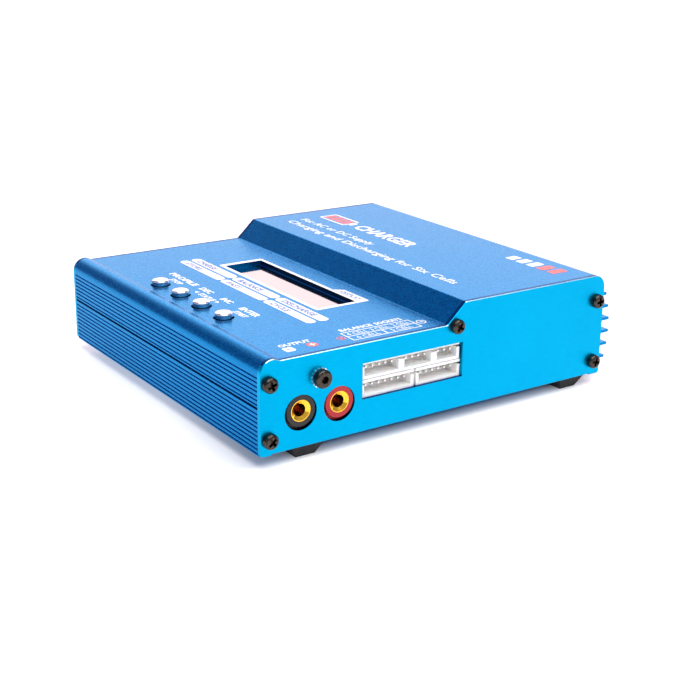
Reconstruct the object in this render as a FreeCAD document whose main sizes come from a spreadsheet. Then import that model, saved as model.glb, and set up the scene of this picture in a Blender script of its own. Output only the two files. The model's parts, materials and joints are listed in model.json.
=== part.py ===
"""Balance battery charger: two blue aluminium shells closed by two end plates.

The case stands on four rubber feet. +X is the end with the output jacks and balance sockets, -Y the
grooved front that faces the user, +Y the finned back. The origin is on the floor, under the middle.
Lengths are in millimetres. In the sheet, "inset" sizes count in from the right-hand end plate's outer
face, "back" sizes count back from the grooved front face, and "up" sizes count up from the case's rails.
"""
import FreeCAD, Part
import math
import os
import re

import Sketcher
from FreeCAD import Placement, Rotation, Vector

SIZES = {
    # case
    "half_length": 67.8, "front": -72.5, "rail": 4.4, "wall": 1.6, "plate": 1.6,
    "depth": 139.9, "deck": 29.65, "roof": 36.5, "bead_top": 30.5, "bead_flat": 5.0, "bead_end": 7.0,
    "slope_foot": 69.7, "slope_head": 77.1, "slope_inset": 0.62,
    "rail_front": 4.0, "rail_rear": 135.2, "rail_step": 0.4, "floor_top": 2.0,
    "front_corner": 4.5, "bead_blend": 2.2, "slope_round": 1.0, "rear_corner": 4.8, "low_corner": 0.3,
    "inner_corner": 2.8, "plate_corner": 1.1, "plate_chamfer": 0.2,
    # seam between the shells, with the lower shell's lip standing behind it
    "seam_front": 15.25, "seam_front_gap": 0.85, "seam_rear": 16.6, "seam_rear_gap": 0.4,
    "lip_gap": 0.05, "lip_thick": 1.15, "lip_rise": 2.4, "lip_root": 4.0,
    # front grooves and rear fins
    "groove_pitch": 1.405, "groove_mouth": 0.32, "groove_floor": 0.12, "groove_depth": 0.45,
    "upper_groove": 16.44, "lower_groove": 0.83,
    "fin_top": 33.3, "fin_pitch": 4.67, "fin_root": 0.56, "fin_tip": 0.5, "fin_radius": 40.0,
    "fin_middle": 15.5, "fin_reach": 145.0, "fin_buried": 0.8,
    # screw ports, extruded with the shells, and the plate screws
    "port_front_back": 3.05, "port_front_up": 22.9, "port_front_low": 5.05,
    "port_mid_back": 73.3, "port_mid_up": 28.9,
    "port_rear_back": 136.2, "port_rear_up": 27.35, "port_rear_low": 5.1,
    "port_radius": 2.3, "port_rear_radius": 2.6, "port_hole": 1.25,
    "screw_head": 2.5, "screw_high": 2.2, "screw_round": 1.05, "screw_shank": 1.22, "screw_long": 9.6,
    "screw_clear": 1.6, "cross_length": 3.1, "cross_width": 0.95, "cross_depth": 1.4,
    "socket_radius": 1.35,
    # earth point
    "earth_back": 21.0, "earth_up": 21.6, "earth_head": 2.95, "earth_high": 2.4, "earth_round": 0.9,
    "earth_shank": 1.45, "earth_long": 9.0, "washer_radius": 3.15, "washer_thick": 0.5,
    "washer_hole": 1.6, "washer_teeth": 16.0, "tooth_deep": 0.4, "tooth_half": 0.28,
    "tag_thick": 0.8, "tag_radius": 3.0, "tag_reach": 7.4, "tag_half": 1.9, "nut_flat": 2.75,
    "nut_thick": 2.4,
    # feet
    "foot_top": 12.0, "foot_tip": 7.2, "foot_inset": 7.0, "foot_front": 17.9, "foot_rear": 128.2,
    "foot_round": 0.5,
    # cooling slots under the charger board
    "slot_pitch": 8.0, "slot_half": 1.5, "slot_front": 36.0, "slot_rear": 62.0,
    # output jacks
    "jack_black": 14.15, "jack_red": 28.12, "jack_up": 12.25, "jack_hole": 5.7, "jack_hole_shift": 0.6,
    "jack_collar": 5.05, "jack_recess": 0.0, "jack_half": 5.9, "jack_deep": 14.0, "jack_block_top": 17.6,
    "contact_outer": 3.45, "contact_mouth": 3.2, "contact_bore": 2.05, "funnel_deep": 0.75,
    "contact_deep": 13.5, "contact_long": 15.0,
    # balance sockets
    "window_low": 36.7, "window_high": 76.5, "window_under": 11.08, "window_over": 23.0,
    "pin_pitch": 2.5, "header_spare": 5.42, "header_high": 5.75, "header_deep": 7.0,
    "header_wall": 0.85, "header_end": 1.1,
    "header_base": 1.7, "header_gap": 0.06, "header_gap_low": 0.9, "header_start": 37.05,
    "header_recess": 1.2, "pin_half": 0.32, "pin_up": 3.4,
    "pin_short": 1.5, "key_high": 0.8, "key_drop": 1.75,
    "balance_board_low": 36.0, "balance_board_high": 77.4, "balance_board_under": 7.0,
    "balance_board_over": 25.4,
    # boards
    "board_thick": 1.6, "board_under": 4.5, "board_top": 6.1, "upper_board_under": 18.7,
    "upper_board_top": 20.3, "spacer_clear": 0.2,
    "charger_inset_low": 2.6, "charger_inset_high": 122.0, "charger_tab": 132.4, "charger_low": 6.5,
    "charger_high": 75.0, "charger_tab_high": 41.0,
    "supply_inset_low": 12.0, "supply_inset_high": 131.0, "supply_low": 79.0, "supply_high": 131.5,
    "sheet_thick": 0.3, "pillar_radius": 2.6, "board_screw_head": 2.3, "board_screw_high": 1.5,
    # display
    "glass_inset": 69.0, "glass_back": 52.2, "window_length": 62.8, "window_depth": 15.2,
    "window_corner": 0.5, "bezel_length": 71.3, "bezel_depth": 26.8, "bezel_top": 28.0,
    "bezel_wall": 1.0, "glass_top": 27.8, "glass_under": 23.0, "module_length": 80.0,
    "module_depth": 36.0, "module_pitch_x": 75.0, "module_pitch_y": 31.0,
    # buttons
    "button_back": 13.35, "button_first": 45.35, "button_pitch": 15.0, "button_hole": 3.5,
    "cap_radius": 2.9, "cap_top": 31.6, "cap_under": 25.05, "cap_round": 0.6, "flange_radius": 3.9,
    "flange_under": 26.45, "flange_top": 27.65, "key_half": 3.0, "key_top": 24.05, "plunger_radius": 1.7,
    "plunger_hole": 1.76, "plunger_in": 0.5, "plunger_well": 0.9,
    "keypad_inset_low": 40.0, "keypad_inset_high": 98.0, "keypad_low": 6.2, "keypad_high": 22.6,
    # fan
    "fan_back": 56.0, "fan_up": 15.0, "fan_half": 12.45, "fan_deep": 10.0, "fan_duct": 11.6,
    "fan_pitch_half": 10.0, "fan_hole": 1.4, "fan_hub": 6.2, "fan_hub_plate": 1.6, "fan_strut": 0.8,
    "rotor_hub": 6.0, "rotor_reach": 10.9, "rotor_gap": 0.6, "blade_thick": 0.5,
    "blade_deep": 5.6, "blade_pitch": 38.0, "shaft_radius": 0.75, "bearing_bore": 0.78,
    "bearing_radius": 1.9, "bearing_long": 4.0, "grille_hole": 1.2, "grille_ring": 3.2,
    # mains inlet
    "inlet_back": 108.0, "inlet_up": 17.4, "inlet_half_wide": 13.5, "inlet_half_high": 10.0,
    "flange_half_wide": 15.5, "flange_half_high": 12.0, "flange_out": 2.9, "inlet_cut": 0.25,
    "cavity_half_wide": 12.1, "cavity_half_high": 8.2, "cavity_bevel": 4.5, "cavity_deep": 15.5,
    "inlet_deep": 18.0, "blade_half_thick": 1.0, "blade_half_high": 2.0, "blade_apart": 7.0,
    "blade_drop": 2.0, "blade_recess": 2.6, "blade_tail": 6.4,
    # low-voltage ports on the left plate
    "dc_back": 33.5, "dc_up": 11.6, "dc_half": 4.6, "dc_deep": 13.0, "dc_collar": 4.0, "dc_bore": 3.2,
    "dc_bore_deep": 9.5, "dc_pin": 1.05, "dc_hole": 4.3, "dc_block_top": 17.0,
    "usb_back": 12.6, "usb_half": 3.8, "usb_high": 2.9, "usb_deep": 5.6, "usb_sheet": 0.35,
    "usb_clear": 0.4, "probe_back": 17.9, "probe_clear": 0.3,
}

doc = FreeCAD.newDocument("balance_charger")
sheet = doc.addObject("Spreadsheet::Sheet", "Sizes")
for row, (alias, size) in enumerate(SIZES.items(), start=1):
    sheet.set(f"A{row}", alias)
    sheet.set(f"B{row}", str(size))
    sheet.setAlias(f"B{row}", alias)
doc.recompute()

nodes = []


# ---- helpers ----------------------------------------------------------------------------------------
def bound(text):
    """A size expression in bare aliases, written for setExpression."""
    return re.sub(r"[A-Za-z_]+\w*", lambda word: "Sizes." + word[0] if word[0] in SIZES else word[0], text)


def value(text):
    """The number that a size expression gives now."""
    return float(sheet.evalExpression(bound(text)))


def inset(text):
    """X of a place that far in from the right-hand end plate's outer face."""
    return f"half_length - ({text})"


def back(text):
    """Y of a place that far behind the grooved front face."""
    return f"front + ({text})"


def up(text):
    """Z of a place that far above the case's rails."""
    return f"rail + ({text})"


def bind(item, **expressions):
    for name, text in expressions.items():
        item.setExpression(name.replace("__", "."), bound(text))


def node(item):
    """Marks a finished piece: it is written to a file of its own."""
    nodes.append(item.Name)
    return item


def box(label, xs, ys, zs):
    item = doc.addObject("Part::Box", label)
    for name, (low, high) in zip(("Length", "Width", "Height"), (xs, ys, zs)):
        item.setExpression(name, bound(f"({high}) - ({low})"))
    bind(item, Placement__Base__x=xs[0], Placement__Base__y=ys[0], Placement__Base__z=zs[0])
    return item


def block(label, centre, half, zs):
    """A box given by the middle and half sizes of its plan."""
    (x, y), (half_x, half_y) = centre, half
    return box(label, (f"{x} - {half_x}", f"{x} + {half_x}"), (f"{y} - {half_y}", f"{y} + {half_y}"), zs)


TURNS = {"X": Rotation(Vector(0, 1, 0), 90), "Y": Rotation(Vector(1, 0, 0), -90), "Z": Rotation()}


def bar(label, axis, centre, span, radius):
    """A cylinder along an axis: centre is its place in the other two axes, span where it starts and ends."""
    item = doc.addObject("Part::Cylinder", label)
    bind(item, Radius=radius, Height=f"({span[1]}) - ({span[0]})")
    item.Placement = Placement(Vector(), TURNS[axis])
    place = dict(zip("xyz".replace(axis.lower(), ""), centre))
    place[axis.lower()] = span[0]
    bind(item, Placement__Base__x=place["x"], Placement__Base__y=place["y"], Placement__Base__z=place["z"])
    return item


def fuse(label, *items):
    item = doc.addObject("Part::MultiFuse", label)
    item.Shapes = list(items)
    item.Refine = True
    return item


def cut(label, base, *tools):
    item = doc.addObject("Part::Cut", label)
    item.Base = base
    item.Tool = tools[0] if len(tools) == 1 else fuse(label + "_tools", *tools)
    return item


def group(label, *items):
    """Separate solids of the same kind, kept in one node."""
    item = doc.addObject("Part::Compound", label)
    item.Links = list(items)
    return item


def body(label):
    return doc.addObject("PartDesign::Body", label)


def sketch(owner, plane, label, *loops, offset="0"):
    """A sketch on one of the body's own planes. A loop is a list of corners, or a circle (u, v, radius)."""
    item = owner.newObject("Sketcher::SketchObject", label)
    item.AttachmentSupport = [(next(f for f in owner.Origin.OriginFeatures if f.Role == plane), "")]
    item.MapMode = "FlatFace"
    item.setExpression("AttachmentOffset.Base.z", bound(offset))
    for loop in loops:
        if isinstance(loop, tuple):
            draw_circle(item, *loop)
        else:
            draw_outline(item, loop)
    return item


def pin_down(item, geometry, point, u, v):
    for kind, text in (("DistanceX", u), ("DistanceY", v)):
        index = item.addConstraint(Sketcher.Constraint(kind, -1, 1, geometry, point, value(text)))
        item.setExpression(f"Constraints[{index}]", bound(text))


def draw_circle(item, u, v, radius):
    circle = Part.Circle(Vector(value(u), value(v)), Vector(0, 0, 1), value(radius))
    geometry = item.addGeometry(circle)
    pin_down(item, geometry, 3, u, v)
    index = item.addConstraint(Sketcher.Constraint("Radius", geometry, value(radius)))
    item.setExpression(f"Constraints[{index}]", bound(radius))


def draw_outline(item, corners):
    places = [Vector(value(u), value(v)) for u, v in corners]
    count = len(places)
    first = item.GeometryCount
    for i in range(count):
        item.addGeometry(Part.LineSegment(places[i], places[(i + 1) % count]))
    for i in range(count):
        item.addConstraint(Sketcher.Constraint("Coincident", first + i, 2, first + (i + 1) % count, 1))
    for i, (u, v) in enumerate(corners):
        pin_down(item, first + i, 1, u, v)


def rectangle(us, vs):
    return [(us[0], vs[0]), (us[1], vs[0]), (us[1], vs[1]), (us[0], vs[1])]


def pad(owner, profile, label, length, reversed_=False, midplane=False):
    item = owner.newObject("PartDesign::Pad", label)
    item.Profile = profile
    item.Reversed = reversed_
    item.Midplane = midplane
    bind(item, Length=length)
    return item


def pocket(owner, profile, label, length, reversed_=False, midplane=False):
    """Cuts the profile out of the body, and makes sure that something came away."""
    doc.recompute()
    before = owner.Shape.Volume
    item = owner.newObject("PartDesign::Pocket", label)
    item.Profile = profile
    item.Reversed = reversed_
    item.Midplane = midplane
    bind(item, Length=length)
    doc.recompute()
    assert owner.Shape.Volume < before - 1e-6, f"{label} cut nothing"
    return item


def long_edges(shape, y, z):
    """Names of the edges that run along X through a place in the section."""
    found = []
    for index, edge in enumerate(shape.Edges, start=1):
        middle = edge.CenterOfMass
        along = abs(edge.Vertexes[0].X - edge.Vertexes[-1].X)
        if along > 1 and abs(middle.y - value(y)) < 0.01 and abs(middle.z - value(z)) < 0.01:
            found.append(f"Edge{index}")
    return found


def round_edges(owner, label, radius, *places):
    """Fillets the long edges at these places in the section."""
    doc.recompute()
    base = owner.Tip
    names = [name for y, z in places for name in long_edges(base.Shape, y, z)]
    assert len(names) == len(places), f"{label} found {len(names)} edges"
    item = owner.newObject("PartDesign::Fillet", label)
    item.Base = (base, names)
    bind(item, Radius=radius)
    return item


def linear_pattern(owner, feature, profile, label, length, count):
    item = owner.newObject("PartDesign::LinearPattern", label)
    item.Originals = [feature]
    item.Direction = (profile, ["V_Axis"])
    item.Occurrences = count
    bind(item, Length=length)
    owner.Tip = item
    doc.recompute()
    return item


def solid_feature(label, shape):
    item = doc.addObject("Part::Feature", label)
    item.Shape = shape
    return item


# ---- case section -----------------------------------------------------------------------------------
DECK_CORNERS = [
    (back("0"), up("bead_top")),
    (back("bead_flat"), up("bead_top")),
    (back("bead_end"), up("deck")),
    (back("slope_foot"), up("deck")),
    (back("slope_head"), up("roof")),
    (back("depth"), up("roof")),
]
RAIL_CORNERS = [
    (back("depth"), up("0")),
    (back("rail_rear"), up("0")),
    (back("rail_rear"), up("rail_step")),
    (back("rail_front"), up("rail_step")),
    (back("rail_front"), up("0")),
    (back("0"), up("0")),
]
SHELL_LENGTH = "2 * (half_length - plate)"
FIN_COUNT = 7
UPPER_FINS = range(0, 4)
LOWER_FINS = range(4, FIN_COUNT)
UPPER_GROOVES = 7
LOWER_GROOVES = 10
COOLING_SLOTS = 9

PORTS_UPPER = [
    ("port_front_back", "port_front_up", "port_radius"),
    ("port_mid_back", "port_mid_up", "port_radius"),
    ("port_rear_back", "port_rear_up", "port_rear_radius"),
]
PORTS_LOWER = [
    ("port_front_back", "port_front_low", "port_radius"),
    ("port_rear_back", "port_rear_low", "port_rear_radius"),
]
# the left plate leaves the middle port under the slope without a screw
PLATE_PORTS = {1: PORTS_UPPER + PORTS_LOWER, -1: PORTS_UPPER[::2] + PORTS_LOWER}


def round_deck(owner, label):
    """The bead, slope and rear corner roundings that the top shell and both plates share."""
    round_edges(owner, label + "_front_corner", "front_corner", DECK_CORNERS[0])
    round_edges(owner, label + "_bead", "bead_blend", DECK_CORNERS[1], DECK_CORNERS[2])
    round_edges(owner, label + "_slope", "slope_round", DECK_CORNERS[3], DECK_CORNERS[4])
    round_edges(owner, label + "_rear_corner", "rear_corner", DECK_CORNERS[5])


def round_rails(owner, label, radius="low_corner"):
    round_edges(owner, label + "_rails", radius, RAIL_CORNERS[0], RAIL_CORNERS[5])


def fin_outline(number):
    """One fin in section. The tips lie on a wide arc, so that the back of the case is gently crowned."""
    middle = f"fin_top - {number} * fin_pitch"
    away = f"({middle} - fin_middle)"
    reach = f"fin_reach - fin_radius + sqrt(fin_radius ^ 2 - {away} ^ 2)"
    shoulder = f"{reach} - 0.6 * fin_tip"
    root = back("depth - fin_buried")
    return [
        (root, up(f"{middle} - fin_root")),
        (back(shoulder), up(f"{middle} - fin_tip")),
        (back(reach), up(f"{middle} - 0.4 * fin_tip")),
        (back(reach), up(f"{middle} + 0.4 * fin_tip")),
        (back(shoulder), up(f"{middle} + fin_tip")),
        (root, up(f"{middle} + fin_root")),
    ]


def add_fins(owner, label, numbers):
    profile = sketch(owner, "YZ_Plane", label + "_fin_section", *[fin_outline(n) for n in numbers])
    pad(owner, profile, label + "_fins", SHELL_LENGTH, midplane=True)


def add_ports(owner, label, ports):
    """Screw ports: round bosses extruded with the shell, drilled from end to end."""
    bosses = sketch(owner, "YZ_Plane", label + "_port_section", *[(back(y), up(z), r) for y, z, r in ports])
    pad(owner, bosses, label + "_ports", SHELL_LENGTH, midplane=True)
    bores = [(back(y), up(z), "port_hole") for y, z, _ in ports]
    holes = sketch(owner, "YZ_Plane", label + "_port_holes", *bores)
    pocket(owner, holes, label + "_port_bores", SHELL_LENGTH, midplane=True)


def add_grooves(owner, label, first, count):
    """The fine grooves along the front face: one notch, repeated upwards."""
    outline = [
        (back("-0.1"), up(f"{first} - groove_mouth")),
        (back("groove_depth"), up(f"{first} - groove_floor")),
        (back("groove_depth"), up(f"{first} + groove_floor")),
        (back("-0.1"), up(f"{first} + groove_mouth")),
    ]
    profile = sketch(owner, "YZ_Plane", label + "_groove_section", outline)
    groove = pocket(owner, profile, label + "_groove", SHELL_LENGTH, midplane=True)
    linear_pattern(owner, groove, profile, label + "_grooves", f"{count - 1} * groove_pitch", count)


def make_top_shell():
    owner = body("top_shell")
    front_seam = up("seam_front + seam_front_gap / 2")
    rear_seam = up("seam_rear + seam_rear_gap / 2")
    inner = [
        (back("depth - wall"), rear_seam),
        (back("depth - wall"), up("roof - wall")),
        (back("slope_head + slope_inset"), up("roof - wall")),
        (back("slope_foot + slope_inset"), up("deck - wall")),
        (back("wall"), up("deck - wall")),
        (back("wall"), front_seam),
    ]
    outline = [(back("0"), front_seam)] + DECK_CORNERS + [(back("depth"), rear_seam)] + inner
    profile = sketch(owner, "YZ_Plane", "top_shell_section", outline)
    pad(owner, profile, "top_shell_extrusion", SHELL_LENGTH, midplane=True)
    round_deck(owner, "top_shell")
    round_edges(owner, "top_shell_inner_corner", "inner_corner", inner[1])
    add_fins(owner, "top_shell", UPPER_FINS)
    add_ports(owner, "top_shell", PORTS_UPPER)
    add_grooves(owner, "top_shell", "upper_groove", UPPER_GROOVES)
    x, y = inset("glass_inset"), back("glass_back")
    window = rectangle((f"{x} - window_length / 2", f"{x} + window_length / 2"),
                       (f"{y} - window_depth / 2", f"{y} + window_depth / 2"))
    buttons = [(inset(f"button_first + {n} * button_pitch"), back("button_back"), "button_hole")
               for n in range(4)]
    holes = sketch(owner, "XY_Plane", "deck_openings", window, *buttons, offset=up("deck + wall"))
    pocket(owner, holes, "deck_cutouts", "3 * wall")
    base = owner.Tip
    corners = [(value(x_side), value(y_side)) for x_side in window[0][:1] + window[1][:1]
               for y_side in window[0][1:] + window[2][1:]]
    names = []
    for i, edge in enumerate(base.Shape.Edges, start=1):
        middle = edge.CenterOfMass
        if any(abs(middle.x - cx) + abs(middle.y - cy) < 0.01 for cx, cy in corners):
            names.append(f"Edge{i}")
    rounding = owner.newObject("PartDesign::Fillet", "window_rounding")
    rounding.Base = (base, names)
    bind(rounding, Radius="window_corner")
    return node(owner)


def make_bottom_shell():
    owner = body("bottom_shell")
    front_seam, rear_seam = "seam_front - seam_front_gap / 2", "seam_rear - seam_rear_gap / 2"
    lip_front, lip_rear = "wall + lip_gap", "depth - wall - lip_gap"
    inner = [
        (back(lip_rear), up(rear_seam)),
        (back(lip_rear), up(f"{rear_seam} + lip_rise")),
        (back(f"{lip_rear} - lip_thick"), up(f"{rear_seam} + lip_rise")),
        (back(f"{lip_rear} - lip_thick"), up(f"{rear_seam} - lip_root")),
        (back("depth - wall"), up(f"{rear_seam} - lip_root - lip_thick")),
        (back("depth - wall"), up("floor_top")),
        (back("wall"), up("floor_top")),
        (back("wall"), up(f"{front_seam} - lip_root - lip_thick")),
        (back(f"{lip_front} + lip_thick"), up(f"{front_seam} - lip_root")),
        (back(f"{lip_front} + lip_thick"), up(f"{front_seam} + lip_rise")),
        (back(lip_front), up(f"{front_seam} + lip_rise")),
        (back(lip_front), up(front_seam)),
        (back("0"), up(front_seam)),
    ]
    outline = list(reversed(RAIL_CORNERS)) + [(back("depth"), up(rear_seam))] + inner
    profile = sketch(owner, "YZ_Plane", "bottom_shell_section", outline)
    pad(owner, profile, "bottom_shell_extrusion", SHELL_LENGTH, midplane=True)
    round_rails(owner, "bottom_shell")
    add_fins(owner, "bottom_shell", LOWER_FINS)
    add_ports(owner, "bottom_shell", PORTS_LOWER)
    add_grooves(owner, "bottom_shell", "lower_groove", LOWER_GROOVES)
    slots = []
    for number in range(COOLING_SLOTS):
        x = f"{number - (COOLING_SLOTS - 1) / 2} * slot_pitch"
        slots.append(rectangle((f"{x} - slot_half", f"{x} + slot_half"),
                               (back("slot_front"), back("slot_rear"))))
    vents = sketch(owner, "XY_Plane", "cooling_slot_outlines", *slots, offset=up("floor_top"))
    pocket(owner, vents, "cooling_slots", "2 * wall")
    return node(owner)


def make_plate(label, side, *cutouts):
    """An end plate, side 1 for the right and -1 for the left, its outer rim chamfered."""
    owner = body(label)
    start = "half_length - plate" if side > 0 else "plate - half_length"
    profile = sketch(owner, "YZ_Plane", label + "_outline", DECK_CORNERS + RAIL_CORNERS, offset=start)
    pad(owner, profile, label + "_blank", "plate", reversed_=side < 0)
    round_deck(owner, label)
    round_rails(owner, label, "plate_corner")
    doc.recompute()
    base = owner.Tip
    outer = side * value("half_length")
    rim = [f"Edge{i}" for i, edge in enumerate(base.Shape.Edges, start=1)
           if all(abs(v.X - outer) < 1e-4 for v in edge.Vertexes)]
    chamfer = owner.newObject("PartDesign::Chamfer", label + "_rim")
    chamfer.Base = (base, rim)
    bind(chamfer, Size="plate_chamfer")
    screws = [(back(y), up(z), "screw_clear") for y, z, r in PLATE_PORTS[side]]
    holes = sketch(owner, "YZ_Plane", label + "_cutout_outlines", *screws, *cutouts, offset=start)
    pocket(owner, holes, label + "_cutouts", "plate", reversed_=side > 0)
    return node(owner)


# ---- fasteners --------------------------------------------------------------------------------------
def make_screw(label, head, high, rounding, shank, length, socket=None):
    """A pan-head screw at the origin: the head's underside on X = 0, the head towards +X.

    It has a cross recess, or a hexagon socket of the radius given."""
    raw_head = bar(label + "_raw_head", "X", ("0", "0"), ("0", high), head)
    dome = round_some(label + "_dome", raw_head, rounding, lambda e: e.CenterOfMass.x > value(high) - 1e-4)
    stem = bar(label + "_stem", "X", ("0", "0"), (f"-({length})", "0"), shank)
    floor = f"{high} - cross_depth"
    solid = fuse(label + "_solid", dome, stem)
    if socket:
        hexagon = doc.addObject("Part::Prism", label + "_socket")
        hexagon.Polygon = 6
        bind(hexagon, Circumradius=socket, Height="cross_depth + 1")
        hexagon.Placement = Placement(Vector(), TURNS["X"])
        bind(hexagon, Placement__Base__x=floor)
        return cut(label, solid, hexagon)
    slots = [
        box(label + "_slot_a", (floor, high), ("-cross_length / 2", "cross_length / 2"),
            ("-cross_width / 2", "cross_width / 2")),
        box(label + "_slot_b", (floor, high), ("-cross_width / 2", "cross_width / 2"),
            ("-cross_length / 2", "cross_length / 2")),
    ]
    return cut(label, solid, *slots)


def round_some(label, base, radius, chosen):
    """Fillets the edges that a test picks out."""
    doc.recompute()
    item = doc.addObject("Part::Fillet", label)
    item.Base = base
    size = value(radius)
    item.Edges = [(i, size, size) for i, edge in enumerate(base.Shape.Edges, start=1) if chosen(edge)]
    return item


def copies(label, master, placements):
    """Copies of one fastener, placed as separate solids of one node."""
    doc.recompute()
    shapes = []
    for place in placements:
        shape = master.Shape.copy()
        shape.Placement = place.multiply(shape.Placement)
        shapes.append(shape)
    return node(solid_feature(label, Part.makeCompound(shapes)))


def facing(side, x, y, z, spin=0):
    """Placement of a screw whose head points to +X (side 1) or -X (side -1), spun about its axis."""
    turn = Rotation(Vector(0, 0, 1), 0 if side > 0 else 180)
    return Placement(Vector(value(x), value(y), value(z)), turn.multiply(Rotation(Vector(1, 0, 0), spin)))


def make_plate_screws():
    master = make_screw("plate_screw", "screw_head", "screw_high", "screw_round", "screw_shank", "screw_long")
    places = []
    for side, face in ((1, "half_length"), (-1, "-half_length")):
        for number, (y, z, _) in enumerate(PLATE_PORTS[side]):
            places.append(facing(side, face, back(y), up(z), 20 + 37 * number))
    copies("plate_screws", master, places)


def make_earth_point():
    """Earth screw with its serrated washer outside, and ring tag and nut behind the plate."""
    y, z = back("earth_back"), up("earth_up")
    master = make_screw("earth_screw_master", "earth_head", "earth_high", "earth_round",
                        "earth_shank", "earth_long", "socket_radius")
    copies("earth_screw", master, [facing(1, "half_length + washer_thick", y, z, 33)])

    owner = body("earth_washer")
    ring = sketch(owner, "YZ_Plane", "washer_outline", (y, z, "washer_radius"), (y, z, "washer_hole"),
                  offset="half_length")
    pad(owner, ring, "washer_ring", "washer_thick")
    top = f"{z} + washer_radius"
    notch = sketch(owner, "YZ_Plane", "washer_notch_outline", [
        (f"{y} - tooth_half", f"{top} + tooth_deep"),
        (f"{y} - tooth_half / 2", f"{top} - tooth_deep"),
        (f"{y} + tooth_half / 2", f"{top} - tooth_deep"),
        (f"{y} + tooth_half", f"{top} + tooth_deep"),
    ], offset="half_length")
    single = pocket(owner, notch, "washer_notch", "washer_thick", reversed_=True)
    axis = owner.newObject("PartDesign::Line", "washer_axis")
    axis.Placement = Placement(Vector(0, value(y), value(z)), Rotation(Vector(0, 0, 1), Vector(1, 0, 0)))
    teeth = owner.newObject("PartDesign::PolarPattern", "washer_teeth_ring")
    teeth.Originals = [single]
    teeth.Axis = (axis, [""])
    teeth.Angle = 360
    teeth.Occurrences = int(SIZES["washer_teeth"])
    owner.Tip = teeth
    node(owner)

    inner = "half_length - plate"
    ring_xs = (f"{inner} - tag_thick", inner)
    tag = fuse("tag_blank",
               bar("tag_ring", "X", (y, z), ring_xs, "tag_radius"),
               box("tag_tail", ring_xs, (y, f"{y} + tag_reach"),
                   (f"{z} - 1.8 * tag_half", f"{z} + 0.2 * tag_half")))
    node(cut("earth_ring_tag", tag, bar("tag_hole", "X", (y, z), ring_xs, "washer_hole")))

    owner = body("earth_nut")
    corner = "nut_flat / cos(30)"
    hexagon = [(f"{y} + {corner} * cos({60 * k})", f"{z} + {corner} * sin({60 * k})") for k in range(6)]
    outline = sketch(owner, "YZ_Plane", "nut_outline", hexagon, (y, z, "earth_shank + 0.03"),
                     offset=f"{inner} - tag_thick")
    pad(owner, outline, "nut_pad", "nut_thick", reversed_=True)
    node(owner)


# ---- feet -------------------------------------------------------------------------------------------
def make_foot(label, x, y):
    """A square rubber foot that narrows towards the floor."""
    wedge = doc.addObject("Part::Wedge", label + "_wedge")
    bind(wedge, Xmin="-foot_tip / 2", Xmax="foot_tip / 2", Zmin="-foot_tip / 2", Zmax="foot_tip / 2",
         X2min="-foot_top / 2", X2max="foot_top / 2", Z2min="-foot_top / 2", Z2max="foot_top / 2",
         Ymin="0", Ymax=up("rail_step"))
    wedge.Placement = Placement(Vector(), Rotation(Vector(1, 0, 0), 90))
    bind(wedge, Placement__Base__x=x, Placement__Base__y=y)
    return round_some(label, wedge, "foot_round", lambda edge: min(v.Z for v in edge.Vertexes) < 1e-4)


def make_feet():
    left, right = "foot_inset - half_length", inset("foot_inset")
    node(group("rubber_feet",
               make_foot("foot_front_right", right, back("foot_front")),
               make_foot("foot_rear_right", right, back("foot_rear")),
               make_foot("foot_front_left", left, back("foot_front")),
               make_foot("foot_rear_left", left, back("foot_rear"))))


# ---- sockets ----------------------------------------------------------------------------------------
def make_output_jack(colour, y):
    """A 4 mm output jack's insulating block and collar.

    Returns its gilt contact, whose mouth is a funnel."""
    y, z = back(y), up("jack_up")
    face, inner = "half_length - jack_recess", "half_length - plate"
    behind = f"{inner} - jack_deep"
    housing = fuse(f"jack_blank_{colour}",
                   box(f"jack_block_{colour}", (behind, inner), (f"{y} - jack_half", f"{y} + jack_half"),
                       (up("board_top"), up("jack_block_top"))),
                   bar(f"jack_collar_{colour}", "X", (y, z), (inner, face), "jack_collar"))
    room = bar(f"jack_room_{colour}", "X", (y, z), (f"{face} - contact_long", face), "contact_outer")
    node(cut(f"output_jack_{colour}", housing, room))

    sleeve = bar(f"contact_sleeve_{colour}", "X", (y, z), (f"{face} - contact_long", face), "contact_outer")
    bore = bar(f"contact_bore_{colour}", "X", (y, z), (f"{face} - contact_deep", face), "contact_bore")
    funnel = doc.addObject("Part::Cone", f"contact_funnel_{colour}")
    bind(funnel, Radius1="contact_bore", Radius2="contact_mouth", Height="funnel_deep")
    funnel.Placement = Placement(Vector(), TURNS["X"])
    bind(funnel, Placement__Base__x=f"{face} - funnel_deep", Placement__Base__y=y, Placement__Base__z=z)
    return cut(f"output_contact_{colour}", sleeve, bore, funnel)


def make_output_jacks():
    node(group("output_contacts",
               make_output_jack("black", "jack_black"),
               make_output_jack("red", "jack_red")))


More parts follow.
